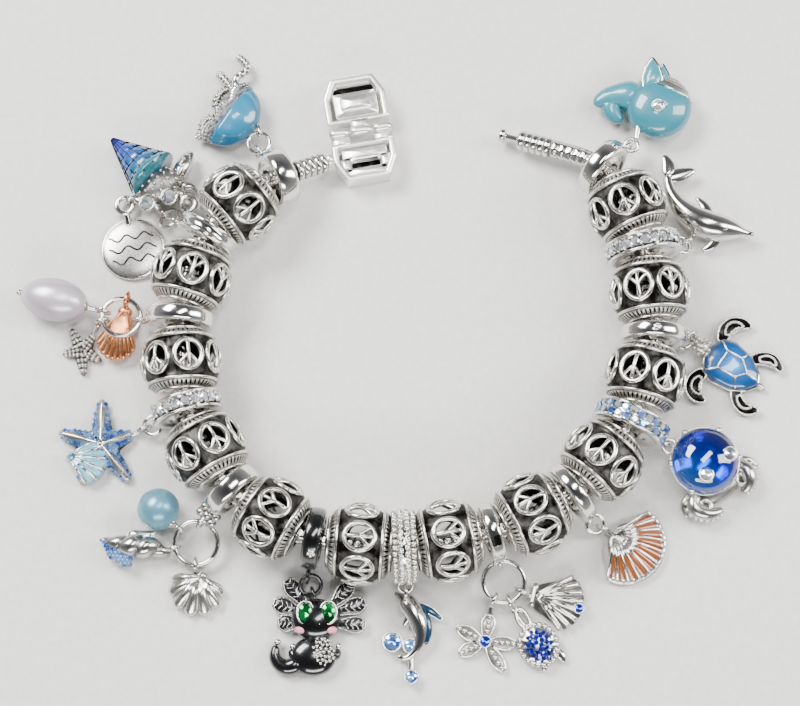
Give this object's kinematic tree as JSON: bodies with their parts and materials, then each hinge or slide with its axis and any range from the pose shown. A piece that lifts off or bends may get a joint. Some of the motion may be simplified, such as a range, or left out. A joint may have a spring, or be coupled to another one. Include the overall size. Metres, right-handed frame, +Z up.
{
  "type": "charm bracelet",
  "caption": "Silver-tone charm bracelet lying open: snake chain with pierced beads, plain and stone-set bails, hanging sea-life charms and a hinged box clasp",
  "frame": {"origin": "bottom centre of the bracelet's box, on the table that it lies on", "axes": "+Z up from the table, +Y from the wrist's middle towards the clasp, +X towards the button pin's side, along the longest extent"},
  "size_m": [0.1204, 0.1022, 0.0125],
  "materials": {
    "silver": "polished silver-tone metal",
    "aged_silver": "antiqued silver-tone metal, dark in its recesses",
    "black_enamel": "gloss black enamel on metal",
    "turquoise": "gloss turquoise enamel on metal",
    "blue_enamel": "gloss blue enamel on metal",
    "blue_glass": "deep blue glass in a metal setting",
    "pearl": "white and lavender pearl lustre",
    "blue_pearl": "pale blue pearl lustre",
    "rose_gold": "polished rose-gold tone metal",
    "copper_enamel": "copper-orange enamel between silver-tone ribs"
  },
  "bodies": {
    "bracelet": {"snake_chain": "silver", "bail_01": "silver", "bail_02": "silver", "bail_03": "silver", "bail_04": "silver", "bail_05": "silver", "bail_07": "silver", "bail_08": "silver", "bail_09": "silver", "bail_10": "silver", "bail_11": "silver", "bail_12": "silver", "bail_13": "silver", "clasp_base": "silver", "end_pin": "silver", "jellyfish_ring": "silver", "crab_ring": "silver", "disc": "silver", "ring_03": "silver", "star_ring": "silver", "ring_05": "silver", "conch": "silver", "clam": "silver", "dolphin_stones": "silver", "ring_08": "silver", "small_star": "silver", "fan_shell": "silver", "shell_ring": "silver", "turtle_ring": "silver", "dolphin_ring": "silver", "silver_dolphin": "silver", "bead_01": "aged_silver", "bead_02": "aged_silver", "bead_03": "aged_silver", "bead_04": "aged_silver", "bead_05": "aged_silver", "bead_06": "aged_silver", "bead_07": "aged_silver", "bead_08": "aged_silver", "bead_09": "aged_silver", "bead_10": "aged_silver", "bead_11": "aged_silver", "bead_12": "aged_silver", "grey_star": "aged_silver", "bail_06": "black_enamel", "axolotl_ring": "black_enamel", "axolotl": "black_enamel", "jellyfish": "turquoise", "whale": "turquoise", "hermit_crab": "blue_enamel", "blue_star": "blue_enamel", "pave_turtle": "blue_enamel", "turtle": "blue_enamel", "crab": "blue_glass", "white_pearl": "pearl", "blue_pearl": "blue_pearl", "rose_shell": "rose_gold", "orange_shell": "copper_enamel"},
    "clasp_cover": {"clasp_lid": "silver"}
  },
  "joints": [
    {"name": "clasp_hinge", "type": "hinge", "parent": "bracelet", "child": "clasp_cover", "pos_m": [-0.00622, 0.03676, 0.00405], "axis": [0.9848, 0.1736, 0], "range_deg": [0, 175]}
  ]
}
